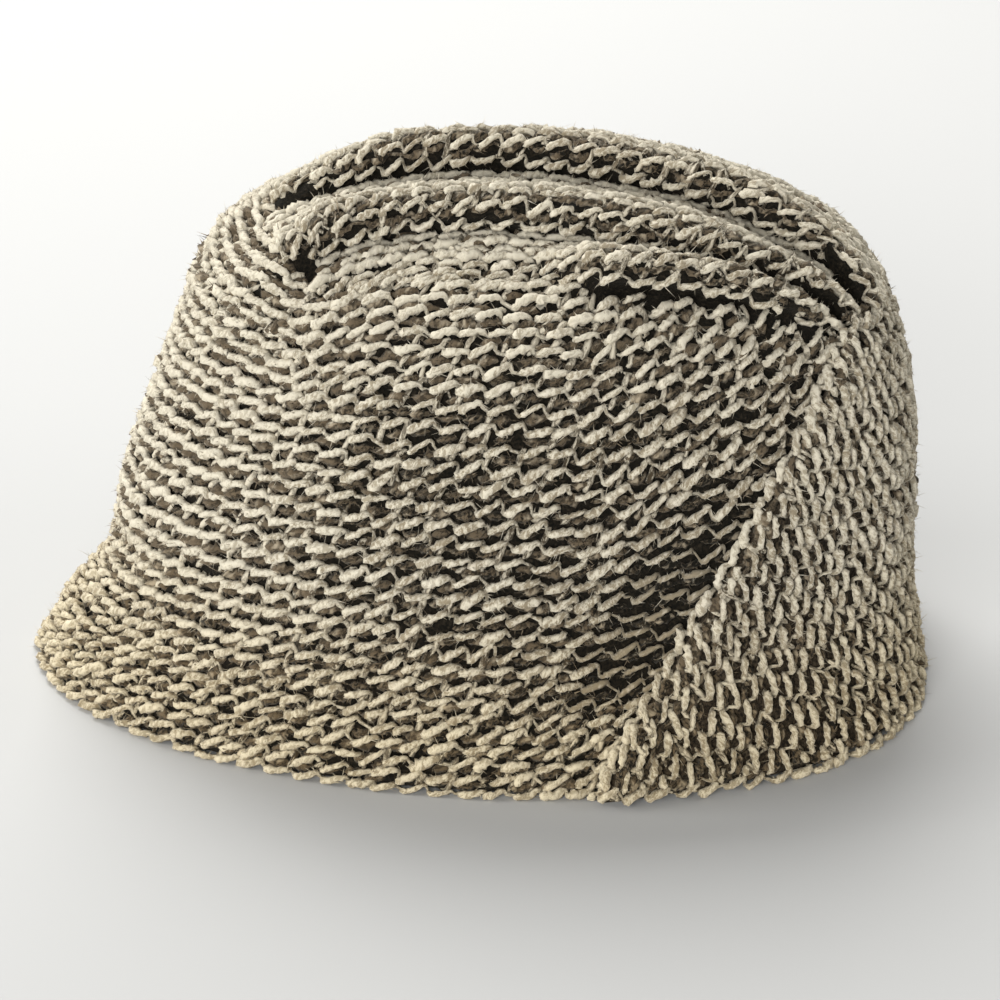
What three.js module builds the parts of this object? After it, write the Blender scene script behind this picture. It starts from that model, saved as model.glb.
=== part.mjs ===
// A knitted cloche hat. The crown and its brim are one wrap of thick tweed knit. The top is drawn into three soft
// pleats that gather at one point behind the ear, and a back panel laps over the wrap along a slanting edge.
import * as THREE from 'three';

const { clamp, lerp, smoothstep, degToRad, radToDeg } = THREE.MathUtils;

// Driving dimensions in millimetres. X runs from the front of the hat to its back, Y from the lapped side to the far
// side, and Z up from the rim of the brim, which rests on z = 0.
const KNIT = 4;
const GAP = 0.5;
const WIDEST = 12;
const LAP = 15;
const LAP_TAPER = 8;
const HEM = 6.5;
const HEM_ROUND = 2.2;

// Level curves from the rim to the tip of the crown. front, back, near and far are how far a curve reaches along -X,
// +X, -Y and +Y, and the two round columns are the exponents of its front and back halves, 2 for an ellipse.
const LEVELS = [
  { name: 'rim', z: 0, front: 117, back: 116.5, near: 92, far: 92, frontRound: 1.85, backRound: 2.5 },
  { name: 'brim', z: 14, front: 109, back: 114, near: 87, far: 87, frontRound: 1.9, backRound: 2.5 },
  { name: 'brim root', z: 29, front: 96.5, back: 112, near: 82.5, far: 82.5, frontRound: 2, backRound: 2.4 },
  { name: 'low wall', z: 52, front: 91.5, back: 111.5, near: 81, far: 81, frontRound: 2.1, backRound: 2.4 },
  { name: 'middle wall', z: 78, front: 82, back: 110, near: 79, far: 79, frontRound: 2.1, backRound: 2.4 },
  { name: 'high wall', z: 98, front: 74.5, back: 105.5, near: 74, far: 74, frontRound: 2.2, backRound: 2.4 },
  { name: 'shoulder', z: 111, front: 69.5, back: 96.5, near: 65, far: 67, frontRound: 2.3, backRound: 2.3 },
  { name: 'top edge', z: 119, front: 58.5, back: 83.5, near: 51, far: 58, frontRound: 2.2, backRound: 2.2 },
  { name: 'top', z: 125.5, front: 41, back: 66, near: 32, far: 48, frontRound: 2.1, backRound: 2.1 },
  { name: 'top middle', z: 130.5, front: 17, back: 42, near: 6, far: 38, frontRound: 2, backRound: 2 },
  { name: 'tip', z: 132.5, front: -12, back: 12, near: -22, far: 22, frontRound: 2, backRound: 2 },
];
const SHAPE_COLUMNS = ['z', 'front', 'back', 'near', 'far', 'frontRound', 'backRound'];
const TIP = LEVELS.length - 1;

// Soft dents of the wall. turn and level place the middle, spread and rise are the half sizes in degrees and levels,
// lean tips the dent as it goes round, and depth is how far it sinks.
const DENTS = [
  { name: 'front hollow', turn: -124, level: 5.3, spread: 22, rise: 0.95, lean: 0.022, depth: 5.5 },
  { name: 'pocket by the lap', turn: -76, level: 2.3, spread: 13, rise: 0.9, lean: 0.03, depth: 4.5 },
  { name: 'far hollow', turn: 128, level: 5.2, spread: 24, rise: 0.8, lean: -0.02, depth: 3 },
];

// The panel's slanting edge, from the rim up to the gather, in degrees round the hat. It bows a little on its way.
const SEAM_AT_RIM = -80;
const SEAM_AT_GATHER = -30.5;
const SEAM_BOW = 6.5;

// The level of the gather. The wall ends here, and the folds of the top start here on the panel's upper edge.
const RING = 5.4;

// Fold lines of the top, from the lapped side to the far side. Each leaves the panel's upper edge at turn from and
// ends on the front of the ring at turn to. The handles that bend it lie off the thirds of its chord, by backX and
// backY next to the gather and by frontX and frontY next to the ring. roll is the radius of the rolled fold, start
// the share of it at the gather, and it dies out between the shares fade and gone of its way.
const FOLDS = [
  { name: 'near corner', from: -30.5, to: -30.5, backX: 0, backY: 0, frontX: 0, frontY: 0, roll: 0 },
  { name: 'lower pleat', from: -30.5, to: -122, backX: 12, backY: -4, frontX: 4, frontY: 16, roll: 5,
    start: 0.5, fade: 0.47, gone: 0.6 },
  { name: 'middle pleat', from: -26, to: -143, backX: 11, backY: -2, frontX: -37, frontY: 40, roll: 5.2,
    start: 0.4, fade: 0.8, gone: 1 },
  { name: 'upper pleat', from: -21, to: -172, backX: 20, backY: 23, frontX: -4, frontY: 38, roll: 5,
    start: 0.4, fade: 0.66, gone: 0.98 },
  { name: 'ridge', from: -3, to: -208, backX: 19, backY: 18, frontX: -21, frontY: 21, roll: 0 },
  { name: 'far slope', from: 30.5, to: -262, backX: 0, backY: 0, frontX: 0, frontY: 0, roll: 0 },
  { name: 'far corner', from: 30.5, to: -329.5, backX: 0, backY: 0, frontX: 0, frontY: 0, roll: 0 },
];
const FOLD_COLUMNS = ['from', 'to', 'backX', 'backY', 'frontX', 'frontY'];
const PLEAT_GROWTH = 0.14;
const ROLL_ROOM = 0.34;
const CREASE = 1.6;
const CREASE_SHARPNESS = 12;
const RUN_OUT = 0.72;

// Grid of the faces: steps up the wall, steps between one fold line and the next, steps round a roll, the share of
// the way to the next fold that a flat roll takes up on each side, and the length of a step along a fold.
const WALL_STEPS = 16;
const STEPS_TO_NEXT_FOLD = [15, 4, 4, 8, 9, 10];
const ROLL_STEPS = 6;
const ROLL_SHARE = 0.15;
const FOLD_STEP = 7.5;
const LAP_STEPS = 3;

function spline(t, p0, p1, p2, p3) {
  const slope1 = (p2 - p0) / 2;
  const slope2 = (p3 - p1) / 2;
  const cubic = 2 * p1 - 2 * p2 + slope1 + slope2;
  const square = 3 * p2 - 3 * p1 - 2 * slope1 - slope2;
  return ((cubic * t + square) * t + slope1) * t + p1;
}

// The level curve at any level between the rows of the table
function curveAt(level) {
  const index = clamp(Math.floor(level), 0, TIP - 1);
  const curve = {};
  for (const column of SHAPE_COLUMNS) {
    const value = (row) => LEVELS[clamp(row, 0, TIP)][column];
    const before = index > 0 ? value(index - 1) : 2 * value(0) - value(1);
    curve[column] = spline(level - index, before, value(index), value(index + 1), value(index + 2));
  }
  curve.middle = (curve.far - curve.near) / 2;
  return curve;
}

// How far a level curve reaches from its middle in one direction
function reachOf(curve, turn) {
  const along = Math.cos(degToRad(turn));
  const across = Math.sin(degToRad(turn));
  const length = Math.max(along > 0 ? curve.back - WIDEST : curve.front + WIDEST, 0.01);
  const width = Math.max((curve.near + curve.far) / 2, 0.01);
  const round = along > 0 ? curve.backRound : curve.frontRound;
  return (Math.abs(along / length) ** round + Math.abs(across / width) ** round) ** (-1 / round);
}

function bodyPoint(turn, level) {
  const curve = curveAt(level);
  const reach = reachOf(curve, turn);
  const x = WIDEST + reach * Math.cos(degToRad(turn));
  const y = curve.middle + reach * Math.sin(degToRad(turn));
  return new THREE.Vector3(x, y, curve.z);
}

function bodyNormal(turn, level) {
  const around = bodyPoint(turn + 0.2, level).sub(bodyPoint(turn - 0.2, level));
  const upward = bodyPoint(turn, Math.min(level + 0.02, TIP)).sub(bodyPoint(turn, Math.max(level - 0.02, 0)));
  return around.cross(upward).normalize();
}

function dentAt(turn, level) {
  let depth = 0;
  for (const dent of DENTS) {
    const aside = THREE.MathUtils.euclideanModulo(turn - dent.turn + 180, 360) - 180;
    const above = level - dent.level - dent.lean * aside;
    depth += dent.depth * Math.exp(-((aside / dent.spread) ** 2) - (above / dent.rise) ** 2);
  }
  return depth;
}

// A point of the outer face, lifted along the normal
function formPoint(turn, level, lift = 0) {
  const normal = bodyNormal(turn, level);
  return bodyPoint(turn, level).addScaledVector(normal, lift - dentAt(turn, level));
}

// A point of the wall at a lift. On the rim it slides level instead, so that the rim stays flat on z = 0.
function wallPoint(turn, level, lift) {
  if (level > 0) {
    return formPoint(turn, level, lift);
  }
  const normal = bodyNormal(turn, level);
  const outward = new THREE.Vector3(normal.x, normal.y, 0);
  return bodyPoint(turn, 0).addScaledVector(outward, lift / outward.lengthSq());
}

// The turn and level of the top under a point of the plan
function placeOnTop(x, y) {
  let low = RING;
  let high = TIP;
  let turn = 0;
  while (high - low > 1e-4) {
    const level = (low + high) / 2;
    const curve = curveAt(level);
    turn = radToDeg(Math.atan2(y - curve.middle, x - WIDEST));
    if (reachOf(curve, turn) > Math.hypot(x - WIDEST, y - curve.middle)) {
      low = level;
    } else {
      high = level;
    }
  }
  return { turn, level: low };
}

// The plan of a fold line at any number between the rows of the table
function foldLine(number) {
  const index = clamp(Math.floor(number), 0, FOLDS.length - 2);
  const line = {};
  for (const column of FOLD_COLUMNS) {
    line[column] = lerp(FOLDS[index][column], FOLDS[index + 1][column], number - index);
  }
  const startPoint = bodyPoint(line.from, RING);
  const endPoint = bodyPoint(line.to, RING);
  const start = new THREE.Vector2(startPoint.x, startPoint.y);
  const end = new THREE.Vector2(endPoint.x, endPoint.y);
  const backHandle = new THREE.Vector2(line.backX, line.backY).add(start.clone().lerp(end, 1 / 3));
  const frontHandle = new THREE.Vector2(line.frontX, line.frontY).add(start.clone().lerp(end, 2 / 3));
  line.path = new THREE.CubicBezierCurve(start, backHandle, frontHandle, end);
  line.length = line.path.getLength();
  return line;
}

// A place on a fold line, by its share of the way from the gather to the ring
function placeOnFold(line, share) {
  if (share <= 0) {
    return { turn: line.from, level: RING };
  }
  if (share >= 1) {
    return { turn: line.to, level: RING };
  }
  const plan = line.path.getPointAt(share);
  return placeOnTop(plan.x, plan.y);
}

// The radius of a pleat's roll, kept small where its neighbours crowd in on it
function rollRadius(number, share) {
  const fold = FOLDS[number];
  if (fold.roll === 0) {
    return 0;
  }
  const pointOn = (line) => {
    const place = placeOnFold(foldLine(line), share);
    return bodyPoint(place.turn, place.level);
  };
  const here = pointOn(number);
  const room = ROLL_ROOM * Math.min(here.distanceTo(pointOn(number - 1)), here.distanceTo(pointOn(number + 1)));
  const grown = lerp(fold.start, 1, smoothstep(share, 0, PLEAT_GROWTH));
  return Math.min(fold.roll * grown * (1 - smoothstep(share, fold.fade, fold.gone)), room);
}

// A point of the top's outer face. bend is the angle round a roll, or null between the folds.
function topPoint(column, share) {
  const fold = FOLDS[column.fold];
  const radius = rollRadius(column.fold, share);
  const fullness = column.bend === null ? 0 : radius / Math.max(fold.roll, 1);
  const line = foldLine(lerp(column.number, column.fold, fullness));
  const place = placeOnFold(line, share);
  const normal = bodyNormal(place.turn, place.level);
  if (column.bend === null) {
    const onward = (column.number - column.fold) / RUN_OUT;
    return formPoint(place.turn, place.level, 2 * radius * (1 - smoothstep(onward, 0, 1)));
  }
  const ahead = placeOnFold(line, Math.min(share + 0.02, 1));
  const behind = placeOnFold(line, Math.max(share - 0.02, 0));
  const along = bodyPoint(ahead.turn, ahead.level).sub(bodyPoint(behind.turn, behind.level)).normalize();
  const lip = new THREE.Vector3().crossVectors(normal, along).normalize();
  const crease = CREASE * fullness * Math.max(-Math.sin(column.bend), 0) ** CREASE_SHARPNESS;
  const point = formPoint(place.turn, place.level, radius * (1 + Math.sin(column.bend)) - crease);
  return point.addScaledVector(lip, radius * Math.cos(column.bend) * smoothstep(share, 0, PLEAT_GROWTH));
}

// The grid columns of the crown: fold numbers from the near corner to the far one, with a fan of bends at each pleat
function crownColumns() {
  const columns = [{ number: 0, fold: 0, bend: null }];
  STEPS_TO_NEXT_FOLD.forEach((steps, fold) => {
    const from = FOLDS[fold].roll > 0 ? fold + ROLL_SHARE : fold;
    const to = FOLDS[fold + 1].roll > 0 ? fold + 1 - ROLL_SHARE : fold + 1;
    for (let step = 1; step <= steps; step += 1) {
      const number = lerp(from, to, step / steps);
      if (step < steps || FOLDS[fold + 1].roll === 0) {
        columns.push({ number, fold: Math.min(fold, FOLDS.length - 2), bend: null });
      }
    }
    if (FOLDS[fold + 1].roll > 0) {
      for (let step = 0; step <= ROLL_STEPS; step += 1) {
        const number = fold + 1 + ROLL_SHARE * (2 * step / ROLL_STEPS - 1);
        columns.push({ number, fold: fold + 1, bend: Math.PI * (step / ROLL_STEPS - 0.5) });
      }
    }
  });
  return columns;
}

// The turn of the panel's slanting edge at a level
function seamTurn(level) {
  const share = level / RING;
  return lerp(SEAM_AT_RIM, SEAM_AT_GATHER, share) - SEAM_BOW * 4 * share * (1 - share);
}

function degreesFor(distance, turn, level) {
  return distance / bodyPoint(turn + 0.5, level).distanceTo(bodyPoint(turn - 0.5, level));
}

// A closed shell of cloth: pairs of outer and inner points, laid out as strips of cells, with an edge wall all round
class Shell {
  constructor() {
    this.outer = [];
    this.inner = [];
    this.cells = [];
    this.known = new Map();
  }

  point(outer, inner) {
    const key = outer.toArray().map((value) => value.toFixed(3)).join(' ');
    if (!this.known.has(key)) {
      this.known.set(key, this.outer.length);
      this.outer.push(outer);
      this.inner.push(inner);
    }
    return this.known.get(key);
  }

  // Two neighbouring columns become a strip of triangles. Each step goes up the column whose next point comes first
  // by its share of the way, or along the shorter diagonal where both come at once.
  strip(left, right) {
    const point = (place) => this.outer[place.point];
    const shareAt = (column, row) => (row < column.length ? column[row].share : Infinity);
    let i = 0;
    let j = 0;
    while (i + 1 < left.length || j + 1 < right.length) {
      let lead = shareAt(right, j + 1) - shareAt(left, i + 1);
      if (Math.abs(lead) < 1e-6) {
        lead = point(left[i]).distanceTo(point(right[j + 1])) - point(left[i + 1]).distanceTo(point(right[j]));
      }
      const next = lead > 0 ? left[i + 1] : right[j + 1];
      const cell = [left[i].point, right[j].point, next.point];
      if (new Set(cell).size === 3) {
        this.cells.push(cell);
      }
      i += lead > 0 ? 1 : 0;
      j += lead > 0 ? 0 : 1;
    }
  }

  geometry() {
    const count = this.outer.length;
    const triangles = [];
    const edges = new Set();
    for (const [a, b, c] of this.cells) {
      triangles.push(a, b, c, a + count, c + count, b + count);
      for (const [from, to] of [[a, b], [b, c], [c, a]]) {
        edges.add(`${from} ${to}`);
      }
    }
    for (const edge of edges) {
      const [from, to] = edge.split(' ').map(Number);
      if (!edges.has(`${to} ${from}`)) {
        triangles.push(to, from, from + count, to, from + count, to + count);
      }
    }
    const geometry = new THREE.BufferGeometry().setFromPoints([...this.outer, ...this.inner]);
    geometry.setIndex(triangles);
    geometry.computeVertexNormals();
    return geometry;
  }
}

// The wrap: a wall from the rim to the ring, and the folded top from the ring to the gather
function crownGeometry() {
  const shell = new Shell();
  const wallColumn = (turnAt) => {
    const places = [];
    for (let step = 0; step <= WALL_STEPS; step += 1) {
      const level = RING * step / WALL_STEPS;
      const turn = turnAt(level);
      const point = shell.point(wallPoint(turn, level, 0), wallPoint(turn, level, -KNIT));
      places.push({ point, share: step / WALL_STEPS });
    }
    return places;
  };
  const walls = [];
  for (let step = LAP_STEPS; step > 0; step -= 1) {
    walls.push(wallColumn((level) => {
      const under = LAP * step / LAP_STEPS * (1 - (level / RING) ** LAP_TAPER);
      return seamTurn(level) + degreesFor(under, seamTurn(level), level);
    }));
  }
  const tops = [];
  const ringSpan = FOLDS[FOLDS.length - 1].to - FOLDS[0].to;
  for (const column of crownColumns()) {
    const line = foldLine(column.number);
    const round = (line.to - FOLDS[0].to) / ringSpan;
    walls.push(wallColumn((level) => {
      const gap = level < RING ? round * degreesFor(GAP, -seamTurn(level), level) : 0;
      return lerp(seamTurn(level), -360 - seamTurn(level) + gap, round);
    }));
    const length = column.bend === null ? line.length : foldLine(column.fold).length;
    const steps = Math.round(length / FOLD_STEP);
    const places = [];
    for (let step = 0; step <= steps; step += 1) {
      const share = steps > 0 ? step / steps : 0;
      const { turn, level } = placeOnFold(line, 1 - share);
      const point = shell.point(topPoint(column, 1 - share), formPoint(turn, level, -KNIT));
      places.push({ point, share });
    }
    tops.push(places);
  }
  for (const band of [walls, tops]) {
    for (let index = 0; index + 1 < band.length; index += 1) {
      shell.strip(band[index + 1], band[index]);
    }
  }
  return shell.geometry();
}

// The back panel: its near edge is a thick hem that lies over the wrap, and the rest takes over the wall's own form.
// A column has its reach from the slanting edge, the lift of its outer and inner faces, and the share of the outer
// lift that is left at the gather.
const PANEL_COLUMNS = [
  { reach: 0, outer: HEM - HEM_ROUND, inner: GAP, atGather: 0.6 },
  { reach: 1.6, outer: HEM, inner: GAP, atGather: 0.6 },
  { reach: 6, outer: HEM, inner: GAP, atGather: 0.55 },
  { reach: 11, outer: HEM - 0.8, inner: GAP, atGather: 0.5 },
  { reach: LAP + 1.5, outer: HEM - 2, inner: GAP, atGather: 0.45 },
  { reach: LAP + 6, outer: HEM - 2.6, inner: 0.4 - KNIT, atGather: 0.4 },
  { reach: LAP + 14, outer: HEM - 3.4, inner: -KNIT, atGather: 0.3 },
  { reach: LAP + 24, outer: HEM - 4.2, inner: -KNIT, atGather: 0 },
];
const PANEL_STEPS = 16;
const PANEL_SETTLE = 0.6;

function panelGeometry() {
  const shell = new Shell();
  const top = RING - 0.03;
  const panelColumn = (turnAt, { outer, inner, atGather }) => {
    const places = [];
    for (let step = 0; step <= WALL_STEPS; step += 1) {
      const level = top * step / WALL_STEPS;
      const turn = turnAt(level);
      const lift = outer * lerp(1, atGather, smoothstep(level, RING / 2, RING));
      const point = shell.point(wallPoint(turn, level, lift), wallPoint(turn, level, inner));
      places.push({ point, share: step / WALL_STEPS });
    }
    return places;
  };
  const reachTurn = (level, reach) => seamTurn(level) + degreesFor(reach, seamTurn(level) + 8, level);
  const columns = PANEL_COLUMNS.map((column) => panelColumn((level) => reachTurn(level, column.reach), column));
  const last = PANEL_COLUMNS[PANEL_COLUMNS.length - 1];
  for (let step = 1; step <= PANEL_STEPS; step += 1) {
    const share = step / PANEL_STEPS;
    const turnAt = (level) => lerp(reachTurn(level, last.reach), -seamTurn(level), share);
    columns.push(panelColumn(turnAt, { ...last, outer: last.outer * (1 - smoothstep(share, 0, PANEL_SETTLE)) }));
  }
  for (let index = 0; index + 1 < columns.length; index += 1) {
    shell.strip(columns[index], columns[index + 1]);
  }
  return shell.geometry();
}

const tweedKnit = new THREE.MeshStandardMaterial({ color: 0x9c8f7a, roughness: 0.95, metalness: 0 });
const panelKnit = new THREE.MeshStandardMaterial({ color: 0x97896f, roughness: 0.95, metalness: 0 });

const crown = new THREE.Mesh(crownGeometry(), tweedKnit);
crown.name = 'crown';
const backPanel = new THREE.Mesh(panelGeometry(), panelKnit);
backPanel.name = 'back_panel';

// The origin is the middle of the footprint, on the plane that the rim rests on
const hat = new THREE.Group();
hat.add(crown, backPanel);
const box = new THREE.Box3().setFromObject(hat);
hat.position.set(-(box.min.x + box.max.x) / 2, -(box.min.y + box.max.y) / 2, -box.min.z);

export default hat;
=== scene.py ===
import bmesh
import bpy
import numpy as np
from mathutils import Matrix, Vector
from mathutils.bvhtree import BVHTree


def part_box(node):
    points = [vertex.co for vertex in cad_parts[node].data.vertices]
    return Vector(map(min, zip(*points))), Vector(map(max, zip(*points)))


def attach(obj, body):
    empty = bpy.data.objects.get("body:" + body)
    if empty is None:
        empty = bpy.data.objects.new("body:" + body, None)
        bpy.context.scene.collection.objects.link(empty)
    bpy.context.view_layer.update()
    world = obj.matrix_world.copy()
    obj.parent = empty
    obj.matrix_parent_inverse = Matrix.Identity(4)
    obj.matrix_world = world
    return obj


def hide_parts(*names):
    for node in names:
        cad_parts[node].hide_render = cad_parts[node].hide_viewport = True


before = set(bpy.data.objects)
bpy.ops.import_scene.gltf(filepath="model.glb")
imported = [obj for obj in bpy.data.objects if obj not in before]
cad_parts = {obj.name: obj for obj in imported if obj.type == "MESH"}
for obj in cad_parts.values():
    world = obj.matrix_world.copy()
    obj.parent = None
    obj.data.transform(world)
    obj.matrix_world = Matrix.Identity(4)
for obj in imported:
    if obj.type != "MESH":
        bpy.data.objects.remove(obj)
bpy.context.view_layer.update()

# The crown's cloth: the wrap of the hat with its brim and its pleated top, one thick wool knit. It is the
# packed crown, drawn in on its outer face by the depth of the yarn that lies on it. It shows as the plain
# purl face inside, and as the ground between the strands, painted nearly black there as painted shade for the
# gaps and the creases under the rolls.
MM = 0.001
YARN_BED = 2.0 * MM
INSIDE_BED = 0.2 * MM
WELD = 0.01 * MM
OFF_THE_FACE = 0.1 * MM
SOFTENING = 0.3
# Nearly black, far darker than the dark strands: painted shade for the deep gaps and the creases under the
# rolls
GROUND_SHADE_BROWN = (0.013, 0.01, 0.006)
GROUND_SHADE_BLACK = (0.002, 0.002, 0.001)
GROUND_SHADE_FLECK = (0.05, 0.039, 0.026)
INSIDE_OAT = (0.36, 0.31, 0.23)
INSIDE_BROWN = (0.07, 0.052, 0.032)
# Places in the hollow for the head that the inside of the cloth can see
HEARTS = [Vector((0.004, 0.003, height)) for height in (0.01, 0.04, 0.07)]
hat_faces = bmesh.new()
hat_faces.from_mesh(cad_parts["crown"].data)
hat_faces.from_mesh(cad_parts["back_panel"].data)
hat_tree = BVHTree.FromBMesh(hat_faces)
hat_faces.free()


def sees_hollow(face):
    """Whether a face of the hat is on its inside, in the hollow for the head."""
    start = face.calc_center_median() + face.normal * OFF_THE_FACE
    ways = [heart - start for heart in HEARTS]
    facing = [way for way in ways if way.dot(face.normal) > 0]
    return any(hat_tree.ray_cast(start, way, way.length)[0] is None for way in facing)


def knit_cloth(name, node, ground):
    """A solid's cloth, drawn in on its outer face, with the inside's wool on the faces in the hollow."""
    shell = bmesh.new()
    shell.from_mesh(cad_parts[node].data)
    bmesh.ops.remove_doubles(shell, verts=shell.verts, dist=WELD)
    shell.normal_update()
    for face in shell.faces:
        face.smooth = True
        face.material_index = 1 if sees_hollow(face) else 0
    for vert in shell.verts:
        outside = any(face.material_index == 0 for face in vert.link_faces)
        vert.co -= vert.normal * (YARN_BED if outside else INSIDE_BED)
    bmesh.ops.smooth_vert(shell, verts=shell.verts, factor=SOFTENING,
                          use_axis_x=True, use_axis_y=True, use_axis_z=True)
    mesh = bpy.data.meshes.new(name)
    shell.to_mesh(mesh)
    shell.free()
    mesh.materials.append(ground)
    mesh.materials.append(inside_wool)
    piece = bpy.data.objects.new(name, mesh)
    bpy.context.scene.collection.objects.link(piece)
    return piece


def node_at(tree, kind, x, y, **values):
    """A new node at a place in the node editor, with its settings."""
    node = tree.nodes.new(kind)
    node.location = (x, y)
    for key, value in values.items():
        setattr(node, key, value)
    return node


def range_node(tree, x, y, low, high, most=1.0):
    """A node that spreads the values from low to high over zero to the most."""
    node = node_at(tree, "ShaderNodeMapRange", x, y)
    node.inputs["From Min"].default_value = low
    node.inputs["From Max"].default_value = high
    node.inputs["To Max"].default_value = most
    return node


# The noise that takes the wool from its shade to its main colour, and the coarser one that flecks it
MOTTLE_DETAIL = 4
MOTTLE_ROUGHNESS = 0.75
MOTTLE_RANGE = (0.44, 0.56)
FLECK_DETAIL = 3
FLECK_PATTERN = 7.3
FLECK_GRAIN = 0.6
FLECK_RANGE = (0.54, 0.68)
# How far a strand's own tone shifts it between the two colours, and the tone that leaves it as it is
TONE_PULL = 0.5
PLAIN_TONE = 0.5
# The wool is warmer by the rim: the heights in metres where that starts and is full, its share and its tint
WARM_FROM = 0.05
WARM_FULL = 0.012
WARM_SHARE = 0.55
WARM_TINT = (1.0, 0.9, 0.68)


def tweed_group():
    """Mottled wool: three colours broken up by noise, and a height for the felted fibres."""
    tree = bpy.data.node_groups.new("tweed", "ShaderNodeTree")
    for label, kind in (("Place", "NodeSocketVector"), ("Main", "NodeSocketColor"),
                        ("Shade", "NodeSocketColor"), ("Fleck", "NodeSocketColor"),
                        ("Fleck Share", "NodeSocketFloat"), ("Grain", "NodeSocketFloat"),
                        ("Tone", "NodeSocketFloat")):
        tree.interface.new_socket(label, in_out="INPUT", socket_type=kind)
    for label, kind in (("Color", "NodeSocketColor"), ("Height", "NodeSocketFloat")):
        tree.interface.new_socket(label, in_out="OUTPUT", socket_type=kind)
    link = tree.links.new
    start = node_at(tree, "NodeGroupInput", -900, 0)
    end = node_at(tree, "NodeGroupOutput", 500, 0)
    mottle = node_at(tree, "ShaderNodeTexNoise", -600, 200)
    mottle.inputs["Detail"].default_value = MOTTLE_DETAIL
    mottle.inputs["Roughness"].default_value = MOTTLE_ROUGHNESS
    link(start.outputs["Place"], mottle.inputs["Vector"])
    link(start.outputs["Grain"], mottle.inputs["Scale"])
    spread = range_node(tree, -400, 200, *MOTTLE_RANGE)
    link(mottle.outputs["Fac"], spread.inputs["Value"])
    lean = node_at(tree, "ShaderNodeMath", -400, 450, operation="MULTIPLY_ADD")
    lean.inputs[1].default_value = TONE_PULL
    lean.inputs[2].default_value = -TONE_PULL * PLAIN_TONE
    link(start.outputs["Tone"], lean.inputs[0])
    toned = node_at(tree, "ShaderNodeMath", -280, 350, operation="ADD", use_clamp=True)
    link(spread.outputs["Result"], toned.inputs[0])
    link(lean.outputs["Value"], toned.inputs[1])
    ground = node_at(tree, "ShaderNodeMix", -150, 200, data_type="RGBA")
    link(toned.outputs["Value"], ground.inputs["Factor"])
    link(start.outputs["Shade"], ground.inputs["A"])
    link(start.outputs["Main"], ground.inputs["B"])
    larger = node_at(tree, "ShaderNodeMath", -750, -200, operation="MULTIPLY")
    larger.inputs[1].default_value = FLECK_GRAIN
    link(start.outputs["Grain"], larger.inputs[0])
    spots = node_at(tree, "ShaderNodeTexNoise", -600, -200, noise_dimensions="4D")
    spots.inputs["W"].default_value = FLECK_PATTERN
    spots.inputs["Detail"].default_value = FLECK_DETAIL
    link(start.outputs["Place"], spots.inputs["Vector"])
    link(larger.outputs["Value"], spots.inputs["Scale"])
    rare = range_node(tree, -400, -200, *FLECK_RANGE)
    link(spots.outputs["Fac"], rare.inputs["Value"])
    some = node_at(tree, "ShaderNodeMath", -150, -200, operation="MULTIPLY")
    link(rare.outputs["Result"], some.inputs[0])
    link(start.outputs["Fleck Share"], some.inputs[1])
    flecked = node_at(tree, "ShaderNodeMix", 150, 100, data_type="RGBA")
    link(some.outputs["Value"], flecked.inputs["Factor"])
    link(ground.outputs["Result"], flecked.inputs["A"])
    link(start.outputs["Fleck"], flecked.inputs["B"])
    place = node_at(tree, "ShaderNodeTexCoord", -900, -600)
    axes = node_at(tree, "ShaderNodeSeparateXYZ", -700, -500)
    link(place.outputs["Object"], axes.inputs["Vector"])
    low = range_node(tree, -500, -500, WARM_FROM, WARM_FULL, WARM_SHARE)
    link(axes.outputs["Z"], low.inputs["Value"])
    warm = node_at(tree, "ShaderNodeMix", 300, 0, data_type="RGBA", blend_type="MULTIPLY")
    warm.inputs["B"].default_value = (*WARM_TINT, 1)
    link(low.outputs["Result"], warm.inputs["Factor"])
    link(flecked.outputs["Result"], warm.inputs["A"])
    link(warm.outputs["Result"], end.inputs["Color"])
    link(mottle.outputs["Fac"], end.inputs["Height"])
    return tree


TWEED = tweed_group()
WOOL_ROUGHNESS = 0.95
WOOL_GLOSS = 0.15
SHEEN_ROUGHNESS = 0.45
SHEEN_OAT = (0.75, 0.68, 0.55)


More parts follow.
